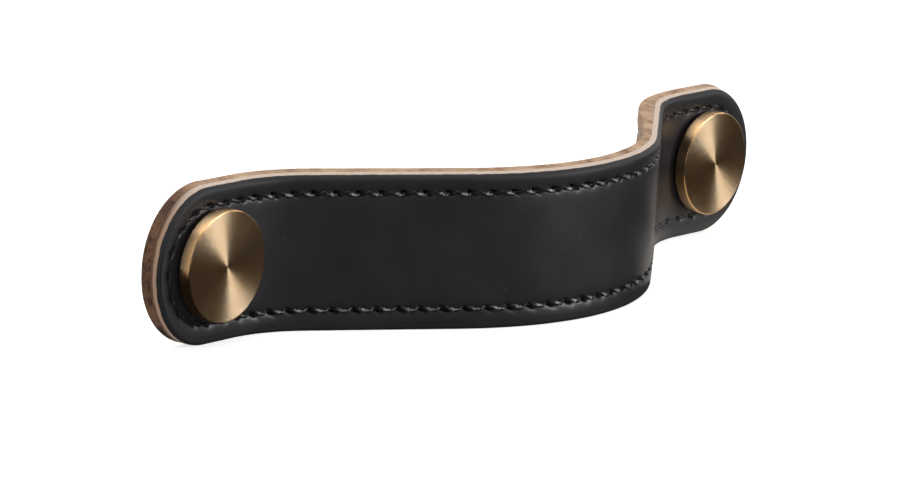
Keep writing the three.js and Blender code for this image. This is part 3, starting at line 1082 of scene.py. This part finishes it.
def floor_finish():
    finish = new_finish("pale_floor")
    matt = finish.node("ShaderNodeBsdfDiffuse", {}, {"Color": FLOOR_COLOUR})
    glow = finish.node("ShaderNodeEmission", {}, {"Strength": seen_directly(finish) * FLOOR_GLOW})
    both = finish.node("ShaderNodeAddShader", {}, {0: matt, 1: glow})
    finish.node("ShaderNodeOutputMaterial", {}, {"Surface": both})
    return finish.owner


half_floor = FLOOR_SIZE / 2
floor_z = cad_low.z
floor = plane("floor", [
    (-half_floor, -half_floor, floor_z), (half_floor, -half_floor, floor_z),
    (half_floor, half_floor, floor_z), (-half_floor, half_floor, floor_z),
])
floor.data.materials.append(floor_finish())
print("floor lies at", round(floor_z / MM, 2), "mm")

# %% [markdown]
# The room is an even white that the camera and the gloss see in full. As a light on matt
# surfaces it is weaker, which leaves room for the lamps to shape the pull.

# %% World
ROOM_LIGHT = 0.45

world = bpy.data.worlds.new("white_room")
bpy.context.scene.world = world
room = Finish(world)
room_glow = room.node("ShaderNodeBackground", {}, {
    "Color": (1, 1, 1, 1), "Strength": ROOM_LIGHT + seen_directly(room) * (1 - ROOM_LIGHT),
})
room.node("ShaderNodeOutputWorld", {}, {"Surface": room_glow})
print("room lights matt surfaces with", ROOM_LIGHT, "of what the camera sees")

# %% [markdown]
# Brass shows what is in front of it. A metal knob is photographed with the room behind the
# camera left dark, so that the lamps stand out on it as bright fans. A dark half dome in
# front of the pull, and a dark card on the floor before it, do that here. The right slope of
# the strap doesn't look into the dark but at the pale floor beside it, so a warm grey card lies
# there. It is cut back in front of the knob, whose face would show it too. Only glossy rays
# meet the dome and the cards.

# %% Dark side of the room
DOME_RADIUS = 2.6
DOME_STEPS = 24
CARD_LIFT = 0.05 * MM
CARD_EDGE = 20 * MM
CARD_COLOUR = (1, 0.94, 0.86, 1)
DARK_GLOW = 0.01
GREY_GLOW = 0.64
GREY_CORNERS = ((28, -26), (60, -26), (68, -10), (112, -10), (112, 18), (28, 18))


def card_finish(name, glow):
    finish = new_finish(name)
    light = finish.node("ShaderNodeEmission", {}, {"Color": CARD_COLOUR, "Strength": glow})
    finish.node("ShaderNodeOutputMaterial", {}, {"Surface": light})
    return finish.owner


def only_in_gloss(sheet, glow):
    """Lets only glossy rays meet a sheet of an even glow, and keeps it out of the object."""
    sheet.data.materials.append(card_finish(sheet.name + "_finish", glow))
    sheet.visible_camera = False
    sheet.visible_diffuse = False
    sheet.visible_transmission = False
    sheet.visible_shadow = False


turn = np.linspace(np.pi, 2 * np.pi, DOME_STEPS)[:, None]
rise = np.linspace(0, np.pi / 2, DOME_STEPS)[None, :]
dome_points = DOME_RADIUS * np.stack([
    np.cos(turn) * np.cos(rise), np.sin(turn) * np.cos(rise), np.sin(rise) + 0 * turn,
], -1)
step = np.arange(DOME_STEPS - 1)
first = (step[:, None] * DOME_STEPS + step).ravel()
dome_quads = np.stack([first, first + 1, first + DOME_STEPS + 1, first + DOME_STEPS], -1)
dome_mesh = bpy.data.meshes.new("dark_dome")
dome_mesh.from_pydata(dome_points.reshape(-1, 3), [], dome_quads)
dome = bpy.data.objects.new("dark_dome", dome_mesh)
bpy.context.collection.objects.link(dome)
only_in_gloss(dome, DARK_GLOW)
card_z = floor_z + CARD_LIFT
card = plane("dark_card", [
    (-DOME_RADIUS, -DOME_RADIUS, card_z), (DOME_RADIUS, -DOME_RADIUS, card_z),
    (DOME_RADIUS, CARD_EDGE, card_z), (-DOME_RADIUS, CARD_EDGE, card_z),
])
only_in_gloss(card, DARK_GLOW)
grey_z = card_z + CARD_LIFT
grey_card = plane("grey_card", [(x * MM, y * MM, grey_z) for x, y in GREY_CORNERS])
only_in_gloss(grey_card, GREY_GLOW)
print("dome of", len(dome_quads), "faces and two cards, seen in gloss only")

# %% [markdown]
# Four soft lamps light the pull. The key lamp stands far off in front and to the right, and
# draws the fans on the knobs. A small lamp further to the right gives the slits' lips and the
# stitches sharp glints. A wide lamp overhead lights the cut edges and the rolled edge, and a
# narrow one on the left lines the knobs' rims.

# %% Lamps
def lamp(name, place, width, height, power):
    """A rectangular soft lamp that faces the pull."""
    light = bpy.data.lights.new(name, "AREA")
    light.shape = "RECTANGLE"
    light.size = width
    light.size_y = height
    light.energy = power
    holder = bpy.data.objects.new(name, light)
    bpy.context.collection.objects.link(holder)
    backward = np.array(place) / np.linalg.norm(place)
    right = np.cross([0, 0, 1], backward)
    right = right / np.linalg.norm(right)
    turned_lamp = np.column_stack([right, np.cross(backward, right), backward])
    holder.matrix_world = Matrix.Translation(place) @ Matrix(turned_lamp.tolist()).to_4x4()
    print(name, power, "W")


lamp("key_lamp", (1.19, -1.87, 0.57), 0.92, 0.92, 22.5)
lamp("right_lamp", (1.02, -0.4, 0.54), 0.3, 0.3, 1.2)
lamp("top_lamp", (-0.2, 0.1, 1.1), 0.8, 0.8, 4.9)
lamp("left_lamp", (-0.75, -0.95, 0.12), 0.12, 0.8, 0.9)

# %% [markdown]
# The picture shows colours as they are, without a film's look.

# %% Finish
bpy.context.scene.view_settings.view_transform = "Standard"
